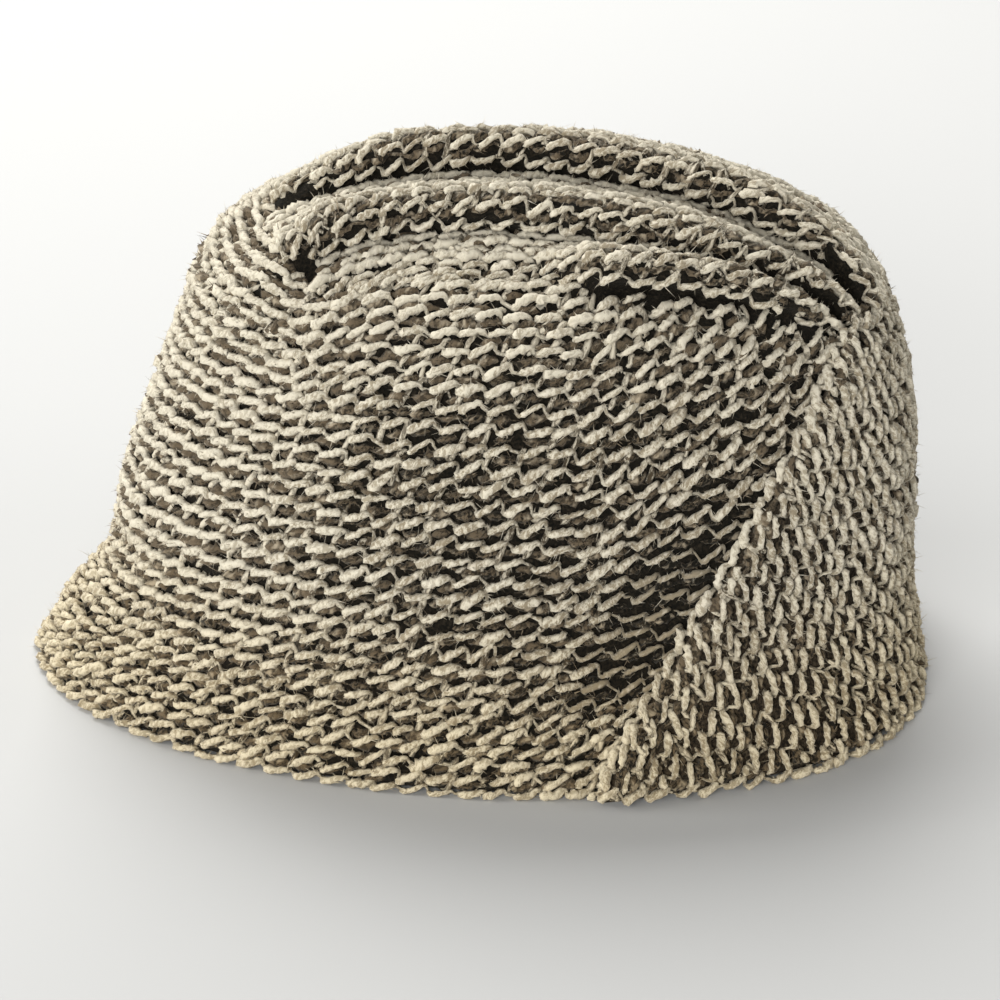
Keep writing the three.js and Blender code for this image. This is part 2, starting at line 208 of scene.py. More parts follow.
def wool(name, main, shade, fleck, fleck_share, grain, bump, sheen, lay_scale=None):
    """A matt wool. With lay_scale the pattern follows the strand's lay, and otherwise the piece's place."""
    material = bpy.data.materials.new(name)
    material.use_nodes = True
    tree = material.node_tree
    link = tree.links.new
    skin = tree.nodes["Principled BSDF"]
    skin.inputs["Roughness"].default_value = WOOL_ROUGHNESS
    skin.inputs["Specular IOR Level"].default_value = WOOL_GLOSS
    skin.inputs["Sheen Weight"].default_value = sheen
    skin.inputs["Sheen Roughness"].default_value = SHEEN_ROUGHNESS
    skin.inputs["Sheen Tint"].default_value = (*SHEEN_OAT, 1)
    tweed = node_at(tree, "ShaderNodeGroup", -300, 200)
    tweed.node_tree = TWEED
    tweed.inputs["Main"].default_value = (*main, 1)
    tweed.inputs["Shade"].default_value = (*shade, 1)
    tweed.inputs["Fleck"].default_value = (*fleck, 1)
    tweed.inputs["Fleck Share"].default_value = fleck_share
    tweed.inputs["Grain"].default_value = grain
    tweed.inputs["Tone"].default_value = PLAIN_TONE
    if lay_scale is None:
        place = node_at(tree, "ShaderNodeTexCoord", -800, 200)
        link(place.outputs["Object"], tweed.inputs["Place"])
    else:
        lay = node_at(tree, "ShaderNodeAttribute", -800, 200, attribute_name="lay")
        stretch = node_at(tree, "ShaderNodeVectorMath", -550, 200, operation="MULTIPLY")
        stretch.inputs[1].default_value = lay_scale
        link(lay.outputs["Vector"], stretch.inputs[0])
        link(stretch.outputs["Vector"], tweed.inputs["Place"])
        parts = node_at(tree, "ShaderNodeSeparateXYZ", -550, -50)
        link(lay.outputs["Vector"], parts.inputs["Vector"])
        link(parts.outputs["Z"], tweed.inputs["Tone"])
    relief = node_at(tree, "ShaderNodeBump", -100, -200)
    relief.inputs["Strength"].default_value = 1.0
    relief.inputs["Distance"].default_value = bump
    link(tweed.outputs["Height"], relief.inputs["Height"])
    link(relief.outputs["Normal"], skin.inputs["Normal"])
    link(tweed.outputs["Color"], skin.inputs["Base Color"])
    return material


# The outer cloth's wool, near black as painted shade for the gaps between the strands
painted_shade_ground_wool = wool("painted_shade_ground_wool", GROUND_SHADE_BROWN, GROUND_SHADE_BLACK, GROUND_SHADE_FLECK,
                   fleck_share=0.5, grain=1700, bump=0.5 * MM, sheen=0.05)
inside_wool = wool("inside_wool", INSIDE_OAT, INSIDE_BROWN, INSIDE_BROWN,
                   fleck_share=0.6, grain=320, bump=1.0 * MM, sheen=0.3)
crown_cloth = knit_cloth("crown_cloth", "crown", painted_shade_ground_wool)
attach(crown_cloth, "root")
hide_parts("crown")

# The wall's knit: rows of two wool strands, a light oat one that stands up as slanting dashes and a dark
# brown one that bulges between its rows, with mottled legs from row to row. The rows run round the wall from
# the brim up, and rise towards the lapped edge.

# The hat's form in millimetres, as the part has it: level curves from the rim to the tip, with their reach to
# the four sides and the roundness of their front and back
LEVEL_COLUMNS = ("z", "front", "back", "near", "far", "front_round", "back_round")
LEVELS = np.array((
    (0, 117, 116.5, 92, 92, 1.85, 2.5),
    (14, 109, 114, 87, 87, 1.9, 2.5),
    (29, 96.5, 112, 82.5, 82.5, 2, 2.4),
    (52, 91.5, 111.5, 81, 81, 2.1, 2.4),
    (78, 82, 110, 79, 79, 2.1, 2.4),
    (98, 74.5, 105.5, 74, 74, 2.2, 2.4),
    (111, 69.5, 96.5, 65, 67, 2.3, 2.3),
    (119, 58.5, 83.5, 51, 58, 2.2, 2.2),
    (125.5, 41, 66, 32, 48, 2.1, 2.1),
    (130.5, 17, 42, 6, 38, 2, 2),
    (132.5, -12, 12, -22, 22, 2, 2),
))
TIP = len(LEVELS) - 1
# Where along the hat the level curves are widest
WIDEST = 12
# Soft dents in the wall: their turn in degrees round the hat, and their level, spread, rise, lean and depth
DENTS = (
    {"turn": -124, "level": 5.3, "spread": 22, "rise": 0.95, "lean": 0.022, "depth": 5.5},
    {"turn": -76, "level": 2.3, "spread": 13, "rise": 0.9, "lean": 0.03, "depth": 4.5},
    {"turn": 128, "level": 5.2, "spread": 24, "rise": 0.8, "lean": -0.02, "depth": 3},
)
# The level where the top begins, and the seam of the panel's slanting edge as turns round the hat
RING = 5.4
SEAM_AT_RIM = -80
SEAM_AT_GATHER = -30.5
SEAM_BOW = 6.5
crown_low, crown_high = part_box("crown")
FORM_ORIGIN = np.array((crown_low.x + LEVELS[0, 1] * MM, crown_high.y - LEVELS[0, 4] * MM, 0))


def ease(value, low, high):
    """From 0 at low to 1 at high, level at both ends."""
    share = np.clip((value - low) / (high - low), 0, 1)
    return share * share * (3 - 2 * share)


def curve_at(level):
    """The level curve of the hat's form at any level between the rows of the table."""
    row = np.clip(np.floor(level).astype(int), 0, TIP - 1)
    step = (level - row)[..., None]
    here = LEVELS[row]
    above = LEVELS[row + 1]
    below = np.where(row[..., None] > 0, LEVELS[np.maximum(row - 1, 0)], 2 * LEVELS[0] - LEVELS[1])
    beyond = LEVELS[np.minimum(row + 2, TIP)]
    slope_here = (above - below) / 2
    slope_above = (beyond - here) / 2
    cubic = 2 * here - 2 * above + slope_here + slope_above
    square = 3 * above - 3 * here - 2 * slope_here - slope_above
    values = ((cubic * step + square) * step + slope_here) * step + here
    return dict(zip(LEVEL_COLUMNS, np.moveaxis(values, -1, 0)))


def reach_of(curve, turn):
    """How far a level curve reaches from its middle at a turn."""
    along = np.cos(np.radians(turn))
    across = np.sin(np.radians(turn))
    length = np.maximum(np.where(along > 0, curve["back"] - WIDEST, curve["front"] + WIDEST), 0.01)
    width = np.maximum((curve["near"] + curve["far"]) / 2, 0.01)
    power = np.where(along > 0, curve["back_round"], curve["front_round"])
    return (np.abs(along / length) ** power + np.abs(across / width) ** power) ** (-1 / power)


def body_point(turn, level):
    """A point of the hat's plain form in millimetres, without its dents."""
    turn, level = np.broadcast_arrays(np.asarray(turn, float), np.asarray(level, float))
    curve = curve_at(level)
    reach = reach_of(curve, turn)
    x = WIDEST + reach * np.cos(np.radians(turn))
    y = (curve["far"] - curve["near"]) / 2 + reach * np.sin(np.radians(turn))
    return np.stack((x, y, curve["z"]), -1)


def unit(vectors):
    return vectors / np.maximum(np.linalg.norm(vectors, axis=-1, keepdims=True), 1e-12)


def normal_of(point_of, turn, level, turn_step, level_step):
    """The outward normal of a face whose points are given by turn and level."""
    around = point_of(turn + turn_step, level) - point_of(turn - turn_step, level)
    above = point_of(turn, np.minimum(level + level_step, TIP))
    below = point_of(turn, np.maximum(level - level_step, 0))
    return unit(np.cross(around, above - below))


def body_normal(turn, level):
    return normal_of(body_point, turn, level, turn_step=0.2, level_step=0.02)


def form_point(turn, level, lift=0):
    """A point of the hat's outer face in millimetres, with its dents, lifted along the normal."""
    turn, level = np.broadcast_arrays(np.asarray(turn, float), np.asarray(level, float))
    sunk = np.zeros_like(turn)
    for dent in DENTS:
        aside = (turn - dent["turn"] + 180) % 360 - 180
        above = level - dent["level"] - dent["lean"] * aside
        sunk = sunk + dent["depth"] * np.exp(-((aside / dent["spread"]) ** 2) - (above / dent["rise"]) ** 2)
    return body_point(turn, level) + body_normal(turn, level) * (lift - sunk)[..., None]


def face_normal(turn, level):
    return normal_of(form_point, turn, level, turn_step=0.4, level_step=0.03)


def seam_turn(level):
    """The turn of the panel's slanting edge at a level."""
    share = level / RING
    return SEAM_AT_RIM + (SEAM_AT_GATHER - SEAM_AT_RIM) * share - SEAM_BOW * 4 * share * (1 - share)


def lengths_along(points, axis=0):
    """The length from the first point to each one along a line of them."""
    steps = np.linalg.norm(np.diff(points, axis=axis), axis=-1)
    return np.concatenate((np.zeros_like(np.take(steps, [0], axis)), np.cumsum(steps, axis)), axis)


def runs_of(mask):
    """Start and stop of each unbroken stretch of a mask."""
    edges = np.flatnonzero(np.diff(np.concatenate(([0], mask.astype(int), [0]))))
    return list(zip(edges[::2], edges[1::2]))


ROW_PITCH = 4.9
# The distance between rows at each height above the rim
ROW_SPACING = np.array(((0, 3.6), (20, 3.8), (38, 4.7), (90, 4.8)))
STITCH = 7.0
RIM_ROW = 1.1
HIGHEST_ROW = 180
# How the rows climb away from the level curves: where along the hat it starts, its slope, and the heights
# between which it sets in
CLIMBS = (
    {"from": -22, "way": -1, "slope": 0.09, "low": 28, "high": 72},
    {"from": 15, "way": 1, "slope": 0.09, "low": 42, "high": 85},
)
CLIMB_EASE = 30
CLIMB_LEVEL = 3.0
UNDER_LAP = 4
CREASE_CLEAR = 3.6
# The level that the rows of the wall climb to round the front, where they go on over the shoulder
FRONT_EDGE = np.array(((-262, 5.4), (-235, 6.8), (-205, 7.4), (-172, 7.4), (-152, 7.0), (-142, 6.6),
                       (-134, 6.4), (-124, 5.4)))
# The grid of turns and levels on which the rows are found
turns = np.arange(-334, -25.75, 0.5)
levels = np.linspace(0, 8, 241)
wall_face = form_point(turns[:, None], levels[None, :])
wall_height = lengths_along(wall_face, 1)
wall_x = body_point(turns, CLIMB_LEVEL)[:, 0]
row_height = wall_height.copy()
for climb in CLIMBS:
    past = np.maximum((wall_x - climb["from"]) * climb["way"], 0)
    run = np.where(past < CLIMB_EASE, past ** 2 / (2 * CLIMB_EASE), past - CLIMB_EASE / 2)
    row_height -= climb["slope"] * run[:, None] * ease(wall_height, climb["low"], climb["high"])
row_starts = [RIM_ROW]
while row_starts[-1] < HIGHEST_ROW:
    row_starts.append(row_starts[-1] + np.interp(row_starts[-1], ROW_SPACING[:, 0], ROW_SPACING[:, 1]))


def front_edge(turn):
    return np.interp((turn + 360) % 360 - 360, FRONT_EDGE[:, 0], FRONT_EDGE[:, 1])


crown_faces = bmesh.new()
crown_faces.from_mesh(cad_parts["crown"].data)
crown_tree = BVHTree.FromBMesh(crown_faces)
crown_faces.free()
SNAP_FROM = 9
SNAP_TURN = -112
SNAP_LEVEL = RING - 0.2


def onto_pleats(points, normals):
    """Points moved along their normals onto the crown's outer face, over the ends of the pleats."""
    moved = points.copy()
    for number, (point, normal) in enumerate(zip(points, normals)):
        start = Vector((point + SNAP_FROM * normal) * MM + FORM_ORIGIN)
        place = crown_tree.ray_cast(start, Vector(-normal), 2 * SNAP_FROM * MM)[0]
        if place is not None:
            moved[number] = (np.array(place) - FORM_ORIGIN) / MM
    return moved


# The shaded dip in front of the lap: its reach from the seam in degrees, the levels where it begins and ends,
# how much thinner its rows are, and how much darker their wool is painted there as painted shade
DIP_REACH = (-18, -6)
DIP_BEGINS = (1.0, 1.9)
DIP_ENDS = (2.7, 4)
DIP_THIN = 0.32
DIP_PAINTED_SHADE = 2.0
# The smooth pale bands round the front, above the brim: their share at each turn, the levels where they set
# in, how much of them is left on the brim and how much fuller they are
FRONT_PALE = np.array(((-262, 0), (-235, 1.0), (-150, 1.0), (-130, 0.6), (-112, 0)))
BAND_BEGINS = (1.2, 2.6)
BAND_ON_BRIM = 0.2
BAND_FULL = 0.15
BRIM_PALE = 0.3
BRIM_ENDS = (1.2, 2.4)
HIGH_PALE = 0.8
HIGH_BEGINS = (4.4, 5.8)


def by_lap(turn, level):
    """How far a place is in the shaded dip in front of the lap."""
    near = ease(turn, seam_turn(level) + DIP_REACH[0], seam_turn(level) + DIP_REACH[1])
    return near * ease(level, *DIP_BEGINS) * (1 - ease(level, *DIP_ENDS))


def band_at(turn, level):
    """How far the rows run into smooth pale bands: at the front, above the brim."""
    front = np.interp(turn, FRONT_PALE[:, 0], FRONT_PALE[:, 1])
    return front * (BAND_ON_BRIM + (1 - BAND_ON_BRIM) * ease(level, *BAND_BEGINS))


def pale_and_painted_shade_at(turn, level):
    """How much more of the light wool shows: at the front, under the pleats, on the brim; less by the lap, as
    painted shade.
    """
    brim = BRIM_PALE * (1 - ease(level, *BRIM_ENDS))
    high = HIGH_PALE * ease(level, *HIGH_BEGINS)
    return np.maximum(np.maximum(band_at(turn, level), brim), high) - DIP_PAINTED_SHADE * by_lap(turn, level)


FEWEST_STEPS = 6
LAST_ROW_REACH = 0.34
# The radius of the cloth across a row where it lies nearly flat
NEARLY_FLAT = 60.0


def wall_rows(top_level, slot, row_height, chance):
    """The rows of the wall up to its top level. At a slot, nothing is knitted above the last one."""
    rows = []
    for height in row_starts:
        level = np.array([np.interp(height, upward, levels, right=np.nan) for upward in row_height])
        known = np.nan_to_num(level)
        inside = np.isfinite(level) & (level < top_level) & (turns < seam_turn(known) + UNDER_LAP)
        inside &= (turns > -360 - seam_turn(known))
        for start, stop in runs_of(inside):
            if stop - start > FEWEST_STEPS:
                turn = turns[start:stop]
                level = known[start:stop]
                points = form_point(turn, level)
                normals = face_normal(turn, level)
                high = (level > SNAP_LEVEL) & (turn < SNAP_TURN)
                points[high] = onto_pleats(points[high], normals[high])
                rows.append({
                    "points": points,
                    "normals": normals,
                    "full": (1 + BAND_FULL * band_at(turn, level)) * (1 - DIP_THIN * by_lap(turn, level)),
                    # Below zero by the lap, where the wool is darkened as painted shade
                    "pale": pale_and_painted_shade_at(turn, level),
                    "even": band_at(turn, level),
                    "last": slot[start:stop] & (top_level[start:stop] - level < LAST_ROW_REACH),
                    "height": height,
                    "round": NEARLY_FLAT,
                    "phase": chance.random(),
                })
    return rows


# A stitch of each strand, a row for each ring of its tube: its share of the stitch, how far it lies to the
# side and above the cloth's face in millimetres, and its girth
LIGHT_STITCH = np.array((
    (0.000, -0.60, -1.70, 0.60),
    (0.035, -0.95, -1.00, 0.80),
    (0.085, -1.08, -0.40, 1.00),
    (0.150, -0.98, -0.05, 1.12),
    (0.230, -0.72, 0.12, 1.18),
    (0.330, -0.40, 0.18, 1.19),
    (0.440, -0.08, 0.20, 1.16),
    (0.560, 0.28, 0.17, 1.11),
    (0.680, 0.65, 0.07, 1.04),
    (0.780, 0.95, -0.20, 0.95),
    (0.860, 1.05, -0.70, 0.84),
    (0.915, 0.75, -1.40, 0.68),
    (0.960, 0.10, -1.90, 0.55),
))
DARK_STITCH = np.array((
    (0.00, -0.20, -2.70, 0.65),
    (0.10, -0.35, -1.95, 0.90),
    (0.20, -0.20, -1.45, 1.05),
    (0.32, 0.00, -1.20, 1.15),
    (0.44, 0.10, -1.20, 1.15),
    (0.55, 0.25, -1.45, 1.05),
    (0.66, 0.40, -1.95, 0.90),
    (0.80, 0.20, -2.70, 0.65),
))
LEG_STITCH = np.array((
    (0.70, -1.50, -2.90, 0.80),
    (0.78, -1.40, -1.60, 1.00),
    (0.86, -0.55, -1.05, 1.05),
    (0.94, 0.45, -1.05, 1.05),
    (1.02, 1.40, -1.60, 1.00),
    (1.10, 1.50, -2.90, 0.80),
))
# Turns of a strand's pattern round it for each millimetre of its row
TWIST = 0.1
# How far stitches differ by chance: along the row, in slant and hook, to the side, in depth where they are
# sunk below the face, in height, and in girth from stitch to stitch and from ring to ring
SLIP = 0.08
SLANT = 0.2
HOOK = (-0.25, 0.4)
ASIDE = 0.2
SUNK_BELOW = -0.5
SUNK = (-0.3, 0.3)
HEIGHT = 0.14
STITCH_GIRTH = 0.13
RING_GIRTH = 0.06
# The girth that rings come to where the knit is even, and how much oftener a strand shows where it is pale
EVEN_GIRTH = 1.1
PALE_OFTEN = 0.5
# The lines of the strands by name, which the fuzz grows on
spines = {}


def stitches_shown(row, strand, chance, arc, count):
    """The rings of a strand's stitches that show along a row: their places, shapes and stitch numbers."""
    stitch = strand["stitch"]
    places = (np.arange(count + 1)[:, None] + stitch[None, :, 0]).ravel()
    shapes = np.tile(stitch, (count + 1, 1))
    number = np.repeat(np.arange(count + 1), len(stitch))
    middle = (number + 0.5 - row["phase"]) * arc[-1] / count
    pale = np.interp(middle, arc, row["pale"])
    kept = (places >= row["phase"]) & (places <= count + row["phase"])
    kept &= pale >= strand["least_pale"]
    kept &= chance.random(count + 1)[number] < strand["often"] + PALE_OFTEN * np.maximum(pale, 0)
    if strand["share"] > 0 and "last" in row:
        kept &= np.interp(middle, arc, row["last"]) < 0.5
    return places[kept], shapes[kept], number[kept]


def along_arc(at, arc, vectors):
    return np.stack([np.interp(at, arc, vectors[:, axis]) for axis in range(3)], -1)


def strand_line(row, strand, chance, length, pitch):
    """The line of a strand along a row, ring by ring, or None where too little of it shows."""
    points = row["points"]
    unrest = strand["unrest"]
    arc = lengths_along(points)
    count = max(int(round(arc[-1] / length)), 1)
    places, shape, number = stitches_shown(row, strand, chance, arc, count)
    if len(places) < 2:
        return None
    slip = chance.normal(0, SLIP * unrest, count + 1)
    at = (places - row["phase"] + slip[number]) * arc[-1] / count
    at = np.maximum.accumulate(np.clip(at, 0, arc[-1]))
    out = unit(along_arc(at, arc, row["normals"]))
    ahead = unit(along_arc(at, arc, unit(np.gradient(points, axis=0))))
    side = unit(np.cross(out, ahead))
    even = np.interp(at, arc, row["even"])
    slant = 1 + chance.normal(0, SLANT * unrest, count + 1)[number]
    hook = 1 + shape[:, 1] ** 2 * chance.uniform(*HOOK, count + 1)[number]
    shift = (strand["share"] * pitch + chance.normal(0, ASIDE * unrest, count + 1))[number]
    lift = shape[:, 2] * (1 - strand["rise"] * even)
    lift = lift * (1 + (lift < SUNK_BELOW) * chance.uniform(*SUNK, count + 1)[number])
    lift = lift + chance.normal(0, HEIGHT * unrest, count + 1)[number]
    aslant = shift + slant * hook * shape[:, 1] * (1 - strand["calm"] * even)
    lift = lift - aslant ** 2 / (2 * row["round"])
    fat = shape[:, 3] + (EVEN_GIRTH - shape[:, 3]) * strand["rise"] * even
    fat = fat * (strand["girth"] * (1 + chance.normal(0, STITCH_GIRTH, count + 1)))[number]
    fat = fat * (1 + chance.normal(0, RING_GIRTH, len(fat))) * np.interp(at, arc, row["full"])
    tone = chance.random(count + 1)[number] + strand["paler"] * np.interp(at, arc, row["pale"])
    centre = along_arc(at, arc, points) + side * aslant[:, None] + out * lift[:, None]
    # Apart from their lumps, strands stay above the floor that the rim rests on
    centre[:, 2] = np.maximum(centre[:, 2], fat)
    return {"centre": centre, "out": out, "lift": lift, "fat": fat, "at": at, "tone": tone, "number": number}


def rings_round(first, second, angles):
    """Rings of unit radius in the planes of two directions, one ring for each pair of them."""
    return first[:, None] * np.cos(angles)[None, :, None] + second[:, None] * np.sin(angles)[None, :, None]


def lay_strand(name, rows, strand, seed, length, pitch):
    """Tubes laid stitch by stitch along rows on the cloth, as one joined mesh in metres."""
    chance = np.random.default_rng(seed)
    sides = strand["sides"]
    angles = np.pi + np.arange(sides) * 2 * np.pi / sides
    verts, faces, lays = [], [], []
    total = 0
    spines[name] = []
    for row in rows:
        line = strand_line(row, strand, chance, length, pitch)
        if line is None:
            continue
        centre, out, lift, fat = line["centre"], line["out"], line["lift"], line["fat"]
        course = unit(np.gradient(centre, axis=0))
        up = unit(out - course * np.sum(out * course, -1, keepdims=True))
        across = np.cross(course, up)
        lumps = 1 + chance.normal(0, strand["lumps"], (len(fat), sides, 1))
        tube = centre[:, None] + rings_round(up, across, angles) * fat[:, None, None] * lumps
        verts.append(tube.reshape(-1, 3))
        spines[name].append(np.concatenate((centre, up, across, course, fat[:, None], lift[:, None]), 1))
        lay = np.zeros(tube.shape)
        lay[..., 0] = line["at"][:, None]
        lay[..., 1] = np.arange(sides) / sides + TWIST * line["at"][:, None]
        lay[..., 2] = line["tone"][:, None]
        lays.append(lay.reshape(-1, 3))
        index = total + np.arange(len(fat) * sides).reshape(-1, sides)
        for part in np.split(index, np.flatnonzero(np.diff(line["number"]) > 1) + 1):
            following = np.roll(part, -1, 1)
            quads = np.stack((part[:-1], following[:-1], following[1:], part[1:]), -1).reshape(-1, 4)
            faces += quads.tolist()
            faces.append(part[0, ::-1].tolist())
            faces.append(part[-1].tolist())
        total += index.size
    return joined_mesh(name, np.concatenate(verts), faces, np.concatenate(lays))


def joined_mesh(name, points, faces, lays):
    """One object from points in the form's millimetres, with the lay of the wool at each of them."""
    mesh = bpy.data.meshes.new(name)
    mesh.from_pydata((points * MM + FORM_ORIGIN).tolist(), [], faces)
    mesh.polygons.foreach_set("use_smooth", np.ones(len(mesh.polygons), bool))
    lay = mesh.attributes.new("lay", "FLOAT_VECTOR", "POINT")
    lay.data.foreach_set("vector", lays.astype(np.float32).ravel())
    piece = bpy.data.objects.new(name, mesh)
    bpy.context.scene.collection.objects.link(piece)
    return piece


LIGHT_OAT = (0.56, 0.513, 0.404)
LIGHT_SHADE = (0.23, 0.19, 0.127)
LIGHT_FLECK = (0.63, 0.575, 0.465)
DARK_BROWN = (0.115, 0.087, 0.055)
DARK_BLACK = (0.006, 0.005, 0.003)
DARK_FLECK = (0.37, 0.31, 0.22)
LEG_OAT = (0.52, 0.47, 0.365)
LEG_BROWN = (0.05, 0.037, 0.022)
light_wool = wool("light_wool", LIGHT_OAT, LIGHT_SHADE, LIGHT_FLECK,
                  fleck_share=0.5, grain=1, bump=0.55 * MM, sheen=0.35, lay_scale=(0.9, 5, 13))
dark_wool = wool("dark_wool", DARK_BROWN, DARK_BLACK, DARK_FLECK,
                 fleck_share=0.8, grain=1, bump=0.6 * MM, sheen=0.15, lay_scale=(1.0, 5, 13))
leg_wool = wool("leg_wool", LEG_OAT, LEG_BROWN, DARK_FLECK,
                fleck_share=0.4, grain=1, bump=0.5 * MM, sheen=0.2, lay_scale=(1.2, 3, 13))
# The strands of a stitch: share is how far up the row they lie, unrest how loosely, rise and calm how much
# less they dip and swing where the knit is even, paler how much they lighten where it is pale, least_pale how
# pale it must be for them to show, and often in how many stitches they do where it isn't pale
STRANDS = (
    {"name": "light", "stitch": LIGHT_STITCH, "material": light_wool, "girth": 0.92, "share": 0, "sides": 5,
     "unrest": 1.5, "lumps": 0.19, "rise": 0.85, "calm": 0.45, "paler": 1, "least_pale": -9, "often": 1},
    {"name": "dark", "stitch": DARK_STITCH, "material": dark_wool, "girth": 1.12, "share": 0.5, "sides": 4,
     "unrest": 2, "lumps": 0.25, "rise": 0.3, "calm": 0, "paler": 0.8, "least_pale": -9, "often": 1},
    {"name": "leg", "stitch": LEG_STITCH, "material": leg_wool, "girth": 0.74, "share": 0.5, "sides": 4,
     "unrest": 1.5, "lumps": 0.16, "rise": 0.1, "calm": 0, "paler": 1, "least_pale": -0.05, "often": 0.65},
)


def knit_rows(name, rows, seed, length=STITCH, pitch=ROW_PITCH):
    """The strands of a field of rows."""
    palest = max(row["pale"].max() for row in rows)
    for number, strand in enumerate(STRANDS):
        if palest >= strand["least_pale"]:
            piece = lay_strand(f"{name}_{strand['name']}", rows, strand, seed + number, length, pitch)
            piece.data.materials.append(strand["material"])
            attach(piece, "root")


# The pleats' knit: the same strands on the top of the crown. The rows run along the rolled pleats from the
# front and draw together at the gather behind the ear, where some of them end.

# The fold lines of the top, as the part has them: the turns that they run from and to, how they bow near each
# end, the radius of their roll and its share at the start, and where along them it fades and is gone
FOLD_COLUMNS = ("from", "to", "back_x", "back_y", "front_x", "front_y", "roll", "start", "fade", "gone")
FOLDS = np.array((
    (-30.5, -30.5, 0, 0, 0, 0, 0, 0, 0, 1),
    (-30.5, -122, 12, -4, 4, 16, 5, 0.5, 0.47, 0.6),
    (-26, -143, 11, -2, -37, 40, 5.2, 0.4, 0.8, 1),
    (-21, -172, 20, 23, -4, 38, 5, 0.4, 0.66, 0.98),
    (-3, -208, 19, 18, -21, 21, 0, 0, 0, 1),
    (30.5, -262, 0, 0, 0, 0, 0, 0, 0, 1),
    (30.5, -329.5, 0, 0, 0, 0, 0, 0, 0, 1),
))
ROLLS = FOLDS[:, FOLD_COLUMNS.index("roll")]
FIRST_PLEAT = 1
PLEAT_GROWTH = 0.14
ROLL_ROOM = 0.34
CREASE = 1.6
CREASE_SHARPNESS = 12
# How far on towards the next fold the height of a roll runs out
RUN_OUT = 0.72
ROLL_SHARE = 0.15
ROLL_STEPS = 12
STEPS_TO_NEXT_FOLD = 12
HALVINGS = 18
PATH_STEPS = 65
SHARE_STEP = 0.02
shares = np.linspace(0, 1, 81)


def place_on_top(x, y):
    """Turn and level of a place on the top, found by halving the stretch of levels that it can lie in."""
    low = np.full_like(x, RING)
    high = np.full_like(x, TIP)
    for step in range(HALVINGS):
        level = (low + high) / 2
        curve = curve_at(level)
        middle = (curve["far"] - curve["near"]) / 2
        turn = np.degrees(np.arctan2(y - middle, x - WIDEST))
        outside = reach_of(curve, turn) > np.hypot(x - WIDEST, y - middle)
        low = np.where(outside, level, low)
        high = np.where(outside, high, level)
    return turn, low


def place_on_fold(number, share):
    """Turn and level of a place on a fold line, for one fold number at each share of the way."""
    number = np.clip(np.broadcast_to(np.asarray(number, float), share.shape), 0, len(FOLDS) - 1)
    index = np.minimum(number.astype(int), len(FOLDS) - 2)
    step = (number - index)[:, None]
    line = dict(zip(FOLD_COLUMNS, np.moveaxis(FOLDS[index] * (1 - step) + FOLDS[index + 1] * step, -1, 0)))
    first = body_point(line["from"], RING)[:, :2]
    last = body_point(line["to"], RING)[:, :2]
    back = first + (last - first) / 3 + np.stack((line["back_x"], line["back_y"]), -1)
    front = first + (last - first) * 2 / 3 + np.stack((line["front_x"], line["front_y"]), -1)
    way = np.linspace(0, 1, PATH_STEPS)[:, None, None]
    left = 1 - way
    path = first * left ** 3 + 3 * back * way * left ** 2 + 3 * front * way ** 2 * left + last * way ** 3
    arc = lengths_along(path)
    wanted = share * arc[-1]
    x = np.array([np.interp(w, arc[:, i], path[:, i, 0]) for i, w in enumerate(wanted)])
    y = np.array([np.interp(w, arc[:, i], path[:, i, 1]) for i, w in enumerate(wanted)])
    turn, level = place_on_top(x, y)
    turn = np.where(share <= 0, line["from"], np.where(share >= 1, line["to"], turn))
    return turn, np.where((share <= 0) | (share >= 1), RING, level)


def roll_radius(fold, share):
    """The radius of a fold's roll along it, no more than its neighbours leave room for."""
    row = dict(zip(FOLD_COLUMNS, FOLDS[fold]))
    if row["roll"] == 0:
        return np.zeros_like(share)
    here, before, after = (body_point(*place_on_fold(fold + step, share)) for step in (0, -1, 1))
    gaps = (np.linalg.norm(here - before, axis=-1), np.linalg.norm(here - after, axis=-1))
    grown = row["start"] + (1 - row["start"]) * ease(share, 0, PLEAT_GROWTH)
    full = row["roll"] * grown * (1 - ease(share, row["fade"], row["gone"]))
    return np.minimum(full, ROLL_ROOM * np.minimum(*gaps))


def top_columns():
    """Lines of the top's grid as fold number, fold and bend, with a fan of bends round each pleat's roll."""
    columns = []
    for fold in range(FIRST_PLEAT, len(FOLDS) - 1):
        rolled = ROLLS[fold] > 0
        if rolled:
            for bend in np.linspace(-1, 1, ROLL_STEPS + 1):
                columns.append((fold + ROLL_SHARE * bend, fold, np.pi / 2 * bend))
        start = fold + ROLL_SHARE if rolled else fold
        stop = fold + 1 - ROLL_SHARE if ROLLS[fold + 1] > 0 else fold + 1
        for number in np.linspace(start, stop, STEPS_TO_NEXT_FOLD + 1)[1:-1]:
            columns.append((number, fold, None))
        if ROLLS[fold + 1] == 0:
            columns.append((fold + 1, fold + 1, None))
    return columns


def top_line(number, fold, bend):
    """Points of the top's outer face along one line of the grid, and the turn and level under them."""
    radius = roll_radius(fold, shares)
    fullness = radius / max(ROLLS[fold], 1) if bend is not None else np.zeros_like(shares)
    line = number + (fold - number) * fullness
    turn, level = place_on_fold(line, shares)
    if bend is None:
        onward = (number - fold) / RUN_OUT
        return form_point(turn, level, 2 * radius * (1 - ease(onward, 0, 1))), turn, level
    ahead = body_point(*place_on_fold(line, np.minimum(shares + SHARE_STEP, 1)))
    behind = body_point(*place_on_fold(line, np.maximum(shares - SHARE_STEP, 0)))
    lip = unit(np.cross(body_normal(turn, level), unit(ahead - behind)))
    crease = CREASE * fullness * max(-np.sin(bend), 0) ** CREASE_SHARPNESS
    points = form_point(turn, level, radius * (1 + np.sin(bend)) - crease)
    return points + lip * (radius * np.cos(bend) * ease(shares, 0, PLEAT_GROWTH))[:, None], turn, level


